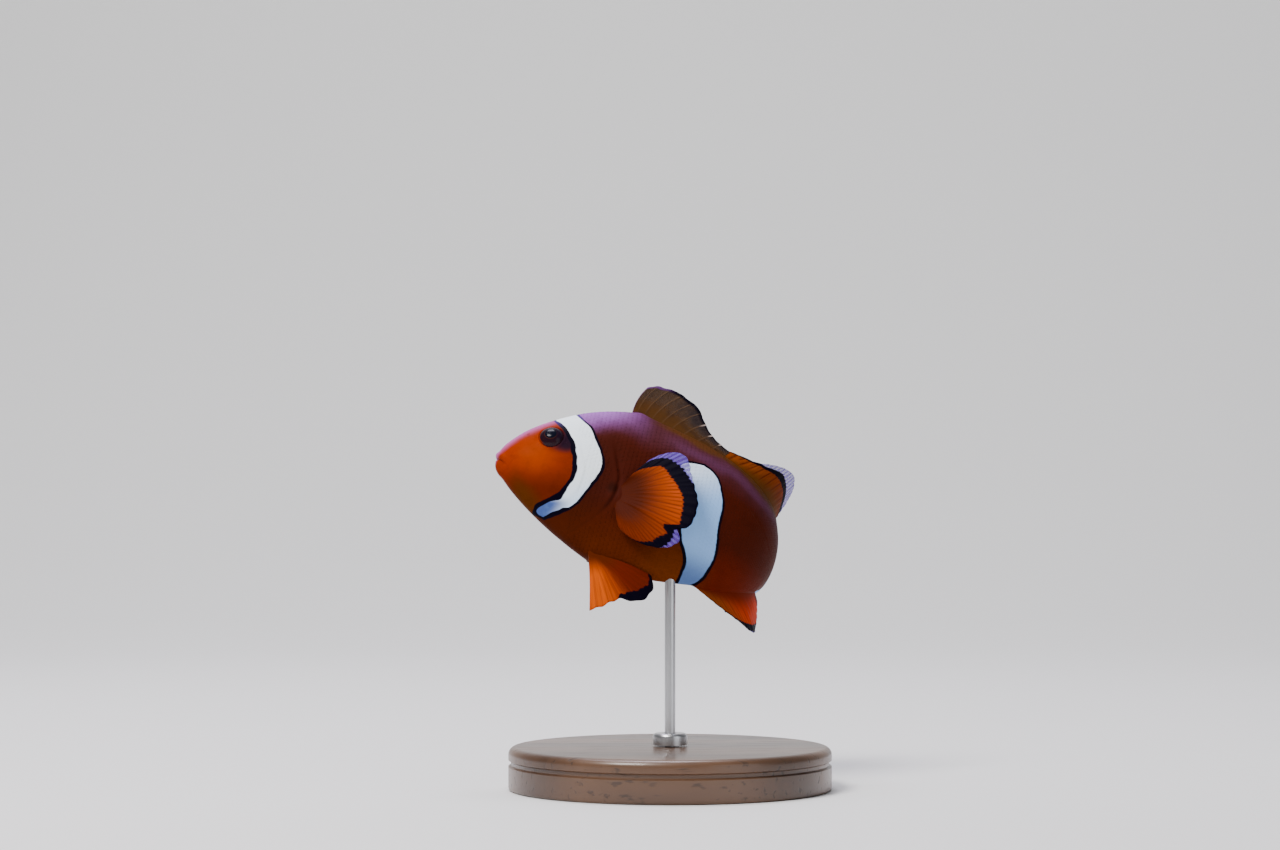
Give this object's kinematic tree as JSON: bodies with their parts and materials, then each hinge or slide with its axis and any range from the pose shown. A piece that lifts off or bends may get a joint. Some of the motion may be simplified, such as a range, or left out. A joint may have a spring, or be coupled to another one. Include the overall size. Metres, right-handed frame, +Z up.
{
  "type": "clownfish",
  "caption": "Life-size still model of a swimming clownfish with a curled tail, held on a round wooden base by a thin steel rod.",
  "frame": {"origin": "centre of the stand base's underside", "axes": "+Z up; the fish faces -X and shows its left side to -Y; its tail swings to +Y"},
  "size_m": [0.0626, 0.0727, 0.075],
  "materials": {
    "skin": "wet fish skin under small scales, orange and maroon with white bars edged in black",
    "fin": "orange fin skin over fine rays, with a black band and a pale see-through edge",
    "eye": "polished dark eye with an orange iris",
    "base_wood": "satin dark walnut",
    "steel": "brushed"
  },
  "bodies": {
    "root": {"head": "skin", "lower_jaw": "skin", "gill_cover_left": "skin", "gill_cover_right": "skin", "trunk": "skin", "tail": "skin", "tail_stalk": "skin", "eye_left": "eye", "eye_right": "eye", "dorsal_fin_spiny": "fin", "dorsal_fin_soft": "fin", "anal_fin": "fin", "caudal_fin": "fin", "pectoral_fin_left": "fin", "pectoral_fin_right": "fin", "pelvic_fin_left": "fin", "pelvic_fin_right": "fin", "stand_base": "base_wood", "stand_rod": "steel", "stand_collar": "steel"}
  },
  "joints": []
}
